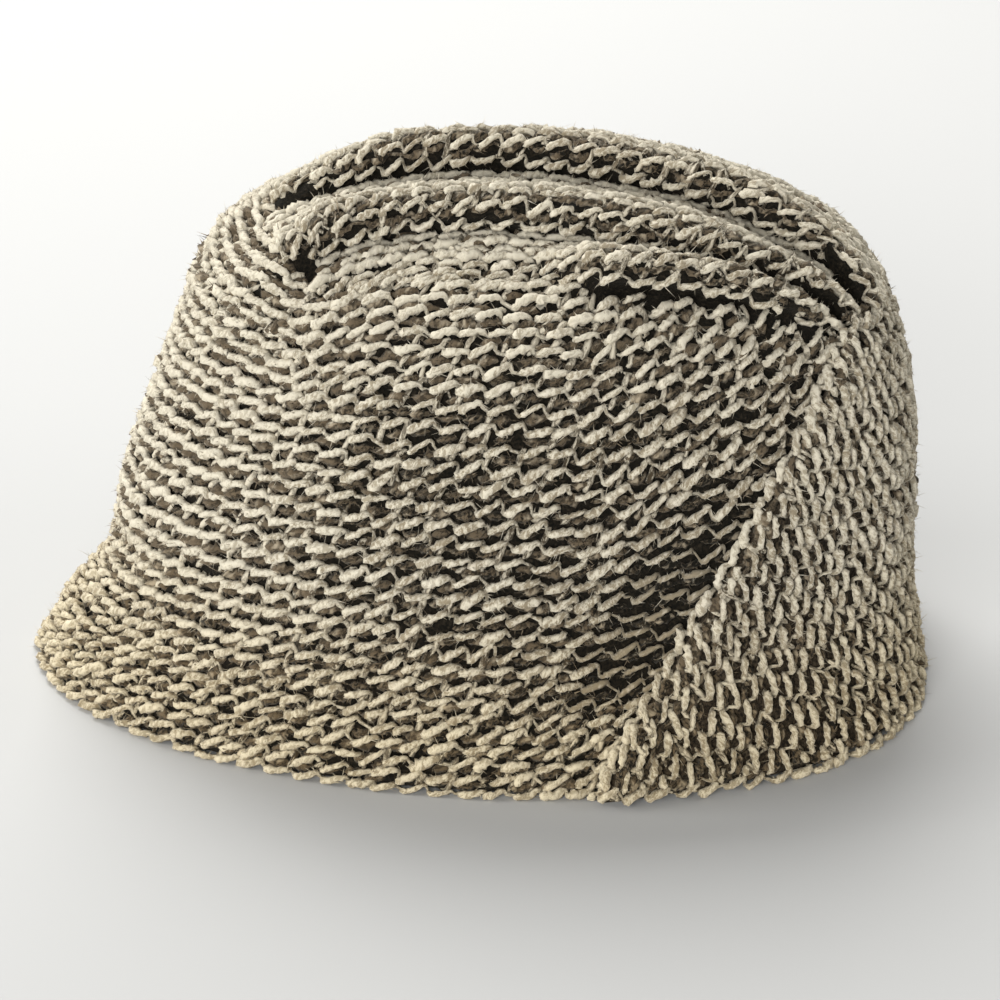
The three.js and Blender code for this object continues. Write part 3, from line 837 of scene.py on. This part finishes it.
# The top is knitted where it lies above the wall's own rows, and all along the back half of its lines
ABOVE_WALL = -0.12
BACK_HALF = 0.5
UNDER_ROLL = -1.57
columns = top_columns()
lines = [top_line(*column) for column in columns]
top_face = np.array([points for points, turn, level in lines])
top_open = np.array([(level > front_edge(turn) + ABOVE_WALL) | (shares < BACK_HALF)
                     for points, turn, level in lines])
bends = np.array([np.nan if bend is None else bend for number, fold, bend in columns])
creases = np.flatnonzero(bends < UNDER_ROLL).tolist()
SLIDE_FROM = 0.42
SLIDE = 0.86
slid = SLIDE * creases[1] * ease(shares, SLIDE_FROM, 1.0)


def along_row(values, place):
    """Values of the top's grid along a row, which slides to the second pleat where the first has run out."""
    spot = np.where(place < creases[1], place + slid * (1 - place / creases[1]), place)
    below = np.clip(spot.astype(int), 0, len(columns) - 2)
    step = (spot - below).reshape(-1, *([1] * (values.ndim - 2)))
    here = np.arange(len(shares))
    return values[below, here] * (1 - step) + values[below + 1, here] * step


first_turn = along_row(np.array([turn for points, turn, level in lines]), 0)
first_level = along_row(np.array([level for points, turn, level in lines]), 0)
clear = CREASE_CLEAR * roll_radius(FIRST_PLEAT, shares) / ROLLS[FIRST_PLEAT]
order = np.argsort(first_turn)
near_edge = np.interp(turns, first_turn[order], first_level[order], left=np.nan, right=np.nan)
near_height = np.array([np.interp(edge, levels, upward) for edge, upward in zip(near_edge, wall_height)])
near_height = near_height - np.interp(turns, first_turn[order], clear[order])
near_edge = np.array([np.interp(height, upward, levels) for height, upward in zip(near_height, wall_height)])
wall_top = np.where(np.isfinite(near_edge), np.maximum(near_edge, front_edge(turns)), front_edge(turns))

# The rows below the valley follow its edge, and swing round its end up to the front
VALLEY_TURNS = (-140, -84)
VALLEY_FADE = 14
BEND_FROM = 0.6
FRONT_TURN = -186
BEND_SPAN = 45
SLOT_CLEAR = 1
edge_height = np.array([np.interp(edge, levels, upward) for edge, upward in zip(wall_top, wall_height)])
edge_row = np.array([np.interp(edge, levels, upward) for edge, upward in zip(wall_top, row_height)])
last_row = min(row_starts, key=lambda start: abs(start - np.interp(VALLEY_TURNS[1], turns, edge_row)))
bend = last_row - np.interp(np.clip(turns, *VALLEY_TURNS), turns, edge_row)
bend *= ease(turns, FRONT_TURN, VALLEY_TURNS[0])
bend *= 1 - ease(turns, VALLEY_TURNS[1], VALLEY_TURNS[1] + VALLEY_FADE)
smooth = np.hanning(BEND_SPAN)
bend = np.convolve(np.pad(bend, BEND_SPAN // 2, "edge"), smooth / smooth.sum(), "valid")
row_height += bend[:, None] * ease(wall_height / edge_height[:, None], BEND_FROM, 1)
chance = np.random.default_rng(5)
slot = np.interp(turns, first_turn[order], clear[order], left=0, right=0) > SLOT_CLEAR
wall_field = wall_rows(wall_top, slot, row_height, chance)


def spread_rows(arcs, pitches, order):
    """Which of the candidate rows are knitted at each step, so that none lie closer than their pitch."""
    mask = np.zeros(arcs.shape, bool)
    for step in range(arcs.shape[1]):
        taken = []
        for row in order:
            if all(abs(arcs[row, step] - arcs[other, step]) > pitches[row] for other in taken):
                taken.append(row)
                mask[row, step] = True
    return mask


def halving_rank(number):
    """A rank that puts the row that halves a field first, then those that halve its halves, and so on."""
    return -(number & -number)


def plain_row(points, normals, look, phase):
    """A row that is as full, pale and even all along."""
    along = np.ones(len(points))
    row = {name: look[name] * along for name in ("full", "pale", "even")}
    return {**row, "points": points, "normals": normals, "round": look["round"], "phase": phase}


TOP_PITCH = 4.2
ROLL_PITCH = 6.0
PLEAT_STITCH = 6.2
ROLL_LOOK = {"full": 0.86, "pale": 0.15, "even": 0, "round": 5.0}
VALLEY_LOOK = {"full": 1.15, "pale": 1.2, "even": 0.7, "round": NEARLY_FLAT}
FEWEST_TOP_STEPS = 3
BRIM_TOP = 32
# The bare cloth under each pleat's roll, in rows, the stretch of it that stays bare, and the least roll there
ROLL_CLEAR = (0, 1.0, 0.7, 0.65)
BARE_FROM = (0, 0.1, 0.3, 0.3)
BARE_UNTIL = (1, 1, 0.88, 0.86)
BARE_ROLL = 1.8
# Rows are picked from quarter steps across the top: first those in the middle of a pitch, then those between
# them where there is room, and last the ones that cover the cloth under a roll past its bare stretch
QUARTERS = 4
MIDDLE_QUARTER = 2
BETWEEN_RANK = 9
COVER_RANK = 11
COVER_FROM = 0.15
COVER_PAST = 0.3
COVER_STEP = 0.25
CLOSEST = 0.72
CLOSEST_COVER = 0.5
OUT_OF_REACH = 1e4
MIDDLE_STEP = 30
pitches = np.where(np.isfinite(bends), ROLL_PITCH, TOP_PITCH)[1:, None]
across_top = np.linalg.norm(np.diff(top_face, axis=0), axis=-1) / pitches
across_top = np.concatenate((np.zeros((1, len(shares))), np.cumsum(across_top, 0)))
across_middle = across_top[:, MIDDLE_STEP]
candidates = []
for fold, start, stop in zip((1, 2, 3), creases, creases[1:] + [len(columns) - 1]):
    low = across_middle[start]
    high = across_middle[stop]
    clear = low + ROLL_CLEAR[fold]
    count = int(round(high - clear)) * QUARTERS
    steps = clear + (high - clear) * np.arange(1, count) / count
    for quarter, step in enumerate(steps, 1):
        in_middle = quarter % QUARTERS == MIDDLE_QUARTER
        whole = (quarter + MIDDLE_QUARTER) // QUARTERS
        rank = halving_rank(whole) if in_middle else BETWEEN_RANK + quarter % 2
        candidates.append((rank, np.interp(step, across_middle, np.arange(len(columns))), None))
    for step in np.arange(low + COVER_FROM, clear + COVER_PAST, COVER_STEP):
        candidates.append((COVER_RANK, np.interp(step, across_middle, np.arange(len(columns))), fold))
arcs = np.array([along_row(across_top, place) for rank, place, fold in candidates])
for row, (rank, place, fold) in enumerate(candidates):
    if fold is not None:
        bare = (shares > BARE_FROM[fold]) & (shares < BARE_UNTIL[fold])
        bare &= roll_radius(fold, shares) > BARE_ROLL
        arcs[row] -= np.where(bare, OUT_OF_REACH * (1 + row), 0)
order = sorted(range(len(candidates)), key=lambda row: candidates[row][0])
closest = [CLOSEST if fold is None else CLOSEST_COVER for rank, place, fold in candidates]
mask = spread_rows(arcs, closest, order) & (arcs > -OUT_OF_REACH / 10)
top_normal = unit(np.cross(np.gradient(top_face, axis=0), np.gradient(top_face, axis=1)))
top_field = []
for row, (rank, place, fold) in enumerate(candidates):
    look = ROLL_LOOK if np.isfinite(bends[int(place)]) else VALLEY_LOOK
    points = along_row(top_face, place)
    normals = unit(along_row(top_normal, place))
    knitted = mask[row] & (along_row(top_open.astype(float), place) > 0.5)
    for start, stop in runs_of(knitted):
        if stop - start > FEWEST_TOP_STEPS:
            forward = points[start:stop][::-1]
            top_field.append(plain_row(forward, normals[start:stop][::-1], look, chance.random()))
knit_rows("brim_yarn", [row for row in wall_field if row["height"] < BRIM_TOP], 51)
knit_rows("wall_yarn", [row for row in wall_field if row["height"] >= BRIM_TOP], 11)
knit_rows("pleat_yarn", top_field, 21, length=PLEAT_STITCH, pitch=TOP_PITCH)

# The back panel's cloth: the same knit turned upright, cut to a slant and hemmed thick at its front edge,
# which laps over the crown from the rim up to the gather.
PANEL_BROWN = (0.05, 0.038, 0.025)
PANEL_BLACK = (0.007, 0.005, 0.003)
PANEL_FLECK = (0.13, 0.103, 0.07)
panel_wool = wool("panel_wool", PANEL_BROWN, PANEL_BLACK, PANEL_FLECK,
                  fleck_share=0.5, grain=1700, bump=0.5 * MM, sheen=0.05)
panel_cloth = knit_cloth("panel_cloth", "back_panel", panel_wool)
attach(panel_cloth, "root")
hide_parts("back_panel")

# The panel's knit: its rows run down from the gather and fan out towards the rim. A row of stitches closes
# the hem along the slanting edge, one closes the panel at its rim and one joins it to the top.

# The panel's face as the part has it: the distance from the edge, the height there over the hat's form, and
# the share of that height that is left at the gather
PANEL_COLUMNS = np.array((
    (0, 4.3, 0.6),
    (1.6, 6.5, 0.6),
    (6, 6.5, 0.55),
    (11, 5.7, 0.5),
    (16.5, 4.5, 0.45),
    (21, 3.9, 0.4),
    (29, 3.1, 0.3),
    (39, 2.3, 0),
))
PANEL_SETTLE = 0.6
PANEL_TOP = RING - 0.03
PANEL_FOOT = 0.06
BEHIND_EDGE = 8
FAN = 0.6
FAN_REACH = 92
PANEL_PITCH = 4.0
PANEL_CLOSEST = 0.8 * PANEL_PITCH
PANEL_STITCH = 6.4
PANEL_LOOK = {"full": 0.88, "pale": 0.12, "even": 0, "round": NEARLY_FLAT}
HEM_BAND = 0.7
HEM_FACE = 6
HEM_LEAN = 0.6
HEM_PHASE = 0.3
HEM_LOOK = {"full": 1.15, "pale": 0.5, "even": 0.3, "round": 4.0}
RIM_LEVEL = 0.16
EDGE_LEVEL = 0.08
EDGE_STEPS = 160
EDGE_PHASE = 0.1
EDGE_LOOK = {"full": 1, "pale": 0, "even": 0, "round": NEARLY_FLAT}


def degrees_for(distance, turn, level):
    """The turn that a distance round the hat comes to."""
    return distance / np.linalg.norm(body_point(turn + 0.5, level) - body_point(turn - 0.5, level), axis=-1)


def panel_point(turn, level):
    """A point of the panel's outer face in millimetres."""
    seam = seam_turn(level)
    reach = (turn - seam) / degrees_for(1, seam + BEHIND_EDGE, level)
    last = PANEL_COLUMNS[-1, 0]
    hem = np.interp(reach, PANEL_COLUMNS[:, 0], PANEL_COLUMNS[:, 1])
    kept = np.interp(reach, PANEL_COLUMNS[:, 0], PANEL_COLUMNS[:, 2])
    last_turn = seam + degrees_for(last, seam + BEHIND_EDGE, level)
    share = np.clip((turn - last_turn) / (-seam - last_turn), 0, 1)
    lift = hem * (1 - ease(share, 0, PANEL_SETTLE)) * (1 + (kept - 1) * ease(level, RING / 2, RING))
    return form_point(turn, level, lift)


def panel_normal(turn, level):
    return normal_of(panel_point, turn, level, turn_step=0.3, level_step=0.03)


panel_levels = np.linspace(PANEL_TOP, PANEL_FOOT, 91)
grid_share = np.linspace(0, 1, 181)[:, None]
near_seam = seam_turn(panel_levels)[None, :]
grid_turns = near_seam + (-near_seam - near_seam) * grid_share
panel_face = panel_point(grid_turns, np.broadcast_to(panel_levels, grid_turns.shape))
across_panel = lengths_along(panel_face, 0)
starts = np.linspace(-FAN_REACH, FAN_REACH, 121)
fan_turns = starts[:, None] * (1 + (FAN - 1) * panel_levels[None, :] / RING)
arcs = np.array([[np.interp(fan_turns[row, step], grid_turns[:, step], across_panel[:, step])
                  for step in range(len(panel_levels))] for row in range(len(starts))])
hem_turns = near_seam + degrees_for(HEM_BAND, near_seam + BEHIND_EDGE, panel_levels[None, :])
inside = (fan_turns > hem_turns) & (fan_turns < -near_seam)
inside &= panel_levels[None, :] > RIM_LEVEL
arcs = np.where(inside, arcs, -OUT_OF_REACH * (1 + np.arange(len(starts)))[:, None])
order = sorted(range(len(starts)), key=halving_rank)
mask = spread_rows(arcs, np.full(len(starts), PANEL_CLOSEST), order) & inside
panel_field = []
for row in range(len(starts)):
    for start, stop in runs_of(mask[row]):
        if stop - start > FEWEST_STEPS:
            turn = fan_turns[row, start:stop]
            level = panel_levels[start:stop]
            points = panel_point(turn, level)
            panel_field.append(plain_row(points, panel_normal(turn, level), PANEL_LOOK, chance.random()))
for level, last_turn in ((EDGE_LEVEL, SEAM_AT_RIM), (PANEL_TOP, SEAM_AT_GATHER)):
    turn = np.linspace(last_turn + 1, -last_turn, EDGE_STEPS)
    edge = np.full_like(turn, level)
    panel_field.append(plain_row(panel_point(turn, edge), panel_normal(turn, edge), EDGE_LOOK, EDGE_PHASE))
hem_turn = seam_turn(panel_levels)
towards = unit(body_point(hem_turn - 1, panel_levels) - body_point(hem_turn, panel_levels))
behind_hem = hem_turn + degrees_for(HEM_FACE, hem_turn + BEHIND_EDGE, panel_levels)
hem_normal = unit(panel_normal(behind_hem, panel_levels) * (1 - HEM_LEAN) + towards * HEM_LEAN)
hem_row = plain_row(panel_point(hem_turn, panel_levels), hem_normal, HEM_LOOK, HEM_PHASE)
knit_rows("panel_yarn", panel_field, 31, length=PANEL_STITCH, pitch=PANEL_PITCH)
knit_rows("hem_yarn", [hem_row], 41, length=PANEL_STITCH, pitch=PANEL_PITCH)

# The fuzz: loose ends of the wool that stand off the strands all over the hat. Each is a thin spike with
# three sides, rooted in a strand and leaning along it, pale on the light strands and brown on the dark ones.
HAIR_SIDES = 3
# Strands that lie deeper than this have no fuzz, and on the others it grows on the upper side, this far round
FUZZ_DEPTH = -2.2
FUZZ_ROUND = 1.7
ROOT_ALONG = 0.5
ROOT_OUT = 0.75
STANDS_OFF = (0.25, 1)
LIES_ALONG = 0.8
SHORTEST_HAIR = 0.6
USUAL_HAIR = 0.8
LONGEST_HAIR = 3.5
HAIR_GIRTH = (0.6, 1.3)
# Hairs that start lower than this point up, clear of the floor
FLOOR_CLEAR = 5
HAIR_OAT = (0.56, 0.51, 0.41)
HAIR_GREY = (0.3, 0.26, 0.19)
HAIR_BROWN = (0.26, 0.205, 0.14)
HAIR_BLACK = (0.03, 0.023, 0.015)
oat_hair = wool("oat_hair", HAIR_OAT, HAIR_GREY, HAIR_OAT,
                fleck_share=0.3, grain=1, bump=0.05 * MM, sheen=0.3, lay_scale=(0, 0, 40))
brown_hair = wool("brown_hair", HAIR_BROWN, HAIR_BLACK, HAIR_GREY,
                  fleck_share=0.3, grain=1, bump=0.05 * MM, sheen=0.1, lay_scale=(0, 0, 40))


def lay_fuzz(name, spine, count, girth, seed):
    """Spikes that start on a strand's upper half and lean along it."""
    chance = np.random.default_rng(seed)
    spine = spine[spine[:, -1] > FUZZ_DEPTH]
    chosen = spine[chance.integers(0, len(spine), count)]
    centre, up, across, course, fat = np.split(chosen, (3, 6, 9, 12), 1)
    angle = chance.uniform(-FUZZ_ROUND, FUZZ_ROUND, (count, 1))
    out = up * np.cos(angle) + across * np.sin(angle)
    root = centre + course * chance.uniform(-ROOT_ALONG, ROOT_ALONG, (count, 1))
    root = root + out * ROOT_OUT * fat[:, :1]
    stands = out * chance.uniform(*STANDS_OFF, (count, 1))
    ahead = unit(stands + course * chance.normal(0, LIES_ALONG, (count, 1)))
    ahead[:, 2] = np.where(root[:, 2] < FLOOR_CLEAR, np.abs(ahead[:, 2]), ahead[:, 2])
    length = SHORTEST_HAIR + np.minimum(chance.exponential(USUAL_HAIR, (count, 1)), LONGEST_HAIR)
    side = unit(np.cross(course, out))
    above = np.cross(ahead, side)
    angles = np.arange(HAIR_SIDES) * 2 * np.pi / HAIR_SIDES
    girth = girth * chance.uniform(*HAIR_GIRTH, (count, 1, 1))
    ring = rings_round(side, above, angles)
    verts = np.concatenate((root[:, None] + ring * girth, (root + ahead * length)[:, None]), 1)
    index = np.arange(count * (HAIR_SIDES + 1)).reshape(count, HAIR_SIDES + 1)
    foot = index[:, :HAIR_SIDES]
    tip = np.repeat(index[:, HAIR_SIDES:], HAIR_SIDES, 1)
    flanks = np.stack((foot, np.roll(foot, -1, 1), tip), -1).reshape(-1, 3)
    faces = flanks.tolist() + foot[:, ::-1].tolist()
    lay = np.zeros(verts.shape)
    lay[..., 2] = chance.random(count)[:, None]
    return joined_mesh(name, verts.reshape(-1, 3), faces, lay.reshape(-1, 3))


for name, count, slot, seed in (
        ("brim", 5000, "crown_knit", 8),
        ("wall", 10000, "crown_knit", 8),
        ("pleat", 5500, "crown_knit", 9),
        ("panel", 5500, "panel_knit", 9)):
    for strand, girth, material, step in (("light", 0.11, oat_hair, 1), ("dark", 0.15, brown_hair, 0)):
        spine = np.concatenate(spines[f"{name}_yarn_{strand}"])
        fuzz = lay_fuzz(f"{name}_fuzz_{strand}", spine, count, girth, seed + step)
        fuzz.data.materials.append(material)
        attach(fuzz, "root")

# The stage: a pale matt floor under the hat and a pale sky. A large soft lamp hangs high behind the hat, one
# stands far off in front of it and a weak low one at each side, and the camera stands where the photo's did.
FLOOR_GREY = (0.43, 0.428, 0.415)
FLOOR_ROUGHNESS = 0.9
FLOOR_REACH = 6
SKY = (0.95, 0.97, 1.0)
SKY_STRENGTH = 0.17
floor_shape = bmesh.new()
bmesh.ops.create_grid(floor_shape, x_segments=1, y_segments=1, size=FLOOR_REACH)
floor_mesh = bpy.data.meshes.new("floor")
floor_shape.to_mesh(floor_mesh)
floor_shape.free()
floor = bpy.data.objects.new("floor", floor_mesh)
bpy.context.scene.collection.objects.link(floor)
pale = bpy.data.materials.new("pale_floor")
pale.use_nodes = True
pale.node_tree.nodes["Principled BSDF"].inputs["Base Color"].default_value = (*FLOOR_GREY, 1)
pale.node_tree.nodes["Principled BSDF"].inputs["Roughness"].default_value = FLOOR_ROUGHNESS
floor.data.materials.append(pale)

world = bpy.data.worlds.new("studio")
world.use_nodes = True
world.node_tree.nodes["Background"].inputs["Color"].default_value = (*SKY, 1)
world.node_tree.nodes["Background"].inputs["Strength"].default_value = SKY_STRENGTH
bpy.context.scene.world = world
LAMPS = (
    {"name": "behind", "place": (-0.15, 0.95, 1.25), "size": 1.1, "power": 40},
    {"name": "front", "place": (-0.53, -2.2, 0.68), "size": 1.1, "power": 60},
    {"name": "left", "place": (-1.35, -0.15, 0.5), "size": 0.7, "power": 13.5},
    {"name": "right", "place": (1.3, -0.3, 0.5), "size": 0.7, "power": 5},
)
LAMP_AIM = Vector((0, 0, 0.06))
for lamp in LAMPS:
    light = bpy.data.lights.new(lamp["name"], "AREA")
    light.size = lamp["size"]
    light.energy = lamp["power"]
    holder = bpy.data.objects.new(lamp["name"], light)
    holder.location = lamp["place"]
    holder.rotation_euler = (LAMP_AIM - Vector(lamp["place"])).to_track_quat("-Z", "Y").to_euler()
    bpy.context.scene.collection.objects.link(holder)

CAMERA_DISTANCE = 1.0
CAMERA_RISE = np.radians(22.5)
CAMERA_SENSOR = 36
CAMERA_LENS = 137.52
AIM = Vector((0.0058, 0.0, 0.04113)) + Vector(FORM_ORIGIN)
lens = bpy.data.cameras.new("camera")
lens.sensor_width = CAMERA_SENSOR
lens.lens = CAMERA_LENS
camera = bpy.data.objects.new("camera", lens)
camera.location = AIM + CAMERA_DISTANCE * Vector((0, -np.cos(CAMERA_RISE), np.sin(CAMERA_RISE)))
camera.rotation_euler = (np.pi / 2 - CAMERA_RISE, 0, 0)
bpy.context.scene.collection.objects.link(camera)
bpy.context.scene.camera = camera
bpy.context.scene.view_settings.view_transform = "Standard"
